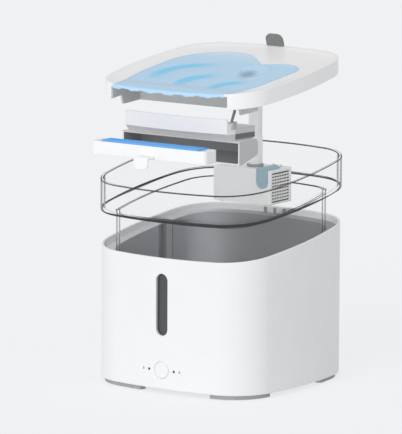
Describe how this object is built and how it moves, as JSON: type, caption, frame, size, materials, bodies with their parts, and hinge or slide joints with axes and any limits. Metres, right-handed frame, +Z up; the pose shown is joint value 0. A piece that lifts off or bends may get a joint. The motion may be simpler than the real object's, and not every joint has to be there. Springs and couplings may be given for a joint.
{
  "type": "pet water fountain",
  "caption": "Square countertop pet water fountain lifted apart: base with a pocket, clear tank, drinking tray with filter cassette and pump, all of which lower and slide shut.",
  "frame": {"origin": "on the ground under the middle of the base", "axes": "+Z up, -Y towards the front with the level window and the button, +X to the right seen from the front"},
  "size_m": [0.1924, 0.2246, 0.3114],
  "materials": {
    "white_shell": "satin moulded",
    "white_tray": "satin moulded",
    "dark_liner": "fine matt",
    "cover_grey": "fine matt",
    "foot_rubber": "matt",
    "steel": "plain",
    "smoked": "smoked clear",
    "bezel_grey": "matt",
    "black_plastic": "matt",
    "board_green": "coated board",
    "lamp_clear": "dark lens",
    "copper": "wound wire",
    "tank_clear": "clear moulded",
    "hood_grey": "fine matt",
    "tab_grey": "soft matt",
    "tower_white": "satin moulded",
    "clip_grey": "fine matt",
    "sponge_blue": "open-cell foam",
    "latch_teal": "soft matt",
    "pump_grey": "fine matt",
    "magnet": "plain",
    "float_red": "plain"
  },
  "bodies": {
    "base": {"outer_shell": "white_shell", "inner_pocket": "dark_liner", "bottom_cover": "cover_grey", "rubber_feet": "foot_rubber", "cover_screws": "steel", "window_bezel": "bezel_grey", "level_window": "smoked", "touch_switch": "black_plastic", "control_board": "board_green", "board_screws": "steel", "lamp_pipes": "lamp_clear", "power_socket": "black_plastic", "drive_coil": "copper", "coil_core": "black_plastic"},
    "button": {"power_button": "white_shell"},
    "tank": {"water_tank": "tank_clear", "channel_cap": "bezel_grey"},
    "float": {"level_float": "float_red"},
    "tray_unit": {"drinking_tray": "white_tray", "pull_tab": "tab_grey", "outlet_duct": "tower_white", "flow_hood": "hood_grey", "hopper": "tower_white", "hopper_stay": "bezel_grey", "hopper_clip": "clip_grey", "filter_housing": "tower_white", "housing_arm": "tower_white", "riser_tube": "tower_white", "riser_seal": "bezel_grey", "pump_cover": "pump_grey", "intake_screen": "black_plastic", "pump_plate": "pump_grey", "pump_volute": "pump_grey", "pump_bushes": "black_plastic", "pump_feet": "bezel_grey", "latch_pin": "steel"},
    "drawer": {"filter_cassette": "white_tray", "filter_sponge": "sponge_blue", "pull_tongue": "white_tray"},
    "impeller": {"impeller": "tower_white", "rotor_magnet": "magnet", "impeller_shaft": "steel"},
    "latch": {"cover_latch": "latch_teal"}
  },
  "joints": [
    {"name": "tank_lower", "type": "slide", "parent": "base", "child": "tank", "axis": [0, 0, -1], "range_m": [0, 0.032]},
    {"name": "tray_lower", "type": "slide", "parent": "tank", "child": "tray_unit", "axis": [0, 0, -1], "range_m": [0, 0.103]},
    {"name": "drawer_in", "type": "slide", "parent": "tray_unit", "child": "drawer", "axis": [0, 1, 0], "range_m": [0, 0.051]},
    {"name": "button_press", "type": "slide", "parent": "base", "child": "button", "axis": [0, 1, 0], "range_m": [0, 0.0008], "stiffness_N_per_m": 900},
    {"name": "float_rise", "type": "slide", "parent": "tank", "child": "float", "axis": [0, 0, 1], "range_m": [0, 0.0632]},
    {"name": "latch_release", "type": "hinge", "parent": "tray_unit", "child": "latch", "pos_m": [0.0338, 0.04, 0.1957], "axis": [-1, 0, 0], "range_deg": [0, 30]},
    {"name": "impeller_spin", "type": "hinge", "parent": "tray_unit", "child": "impeller", "pos_m": [0.013, 0.036, 0.1723], "axis": [0, 0, 1], "continuous": true}
  ]
}
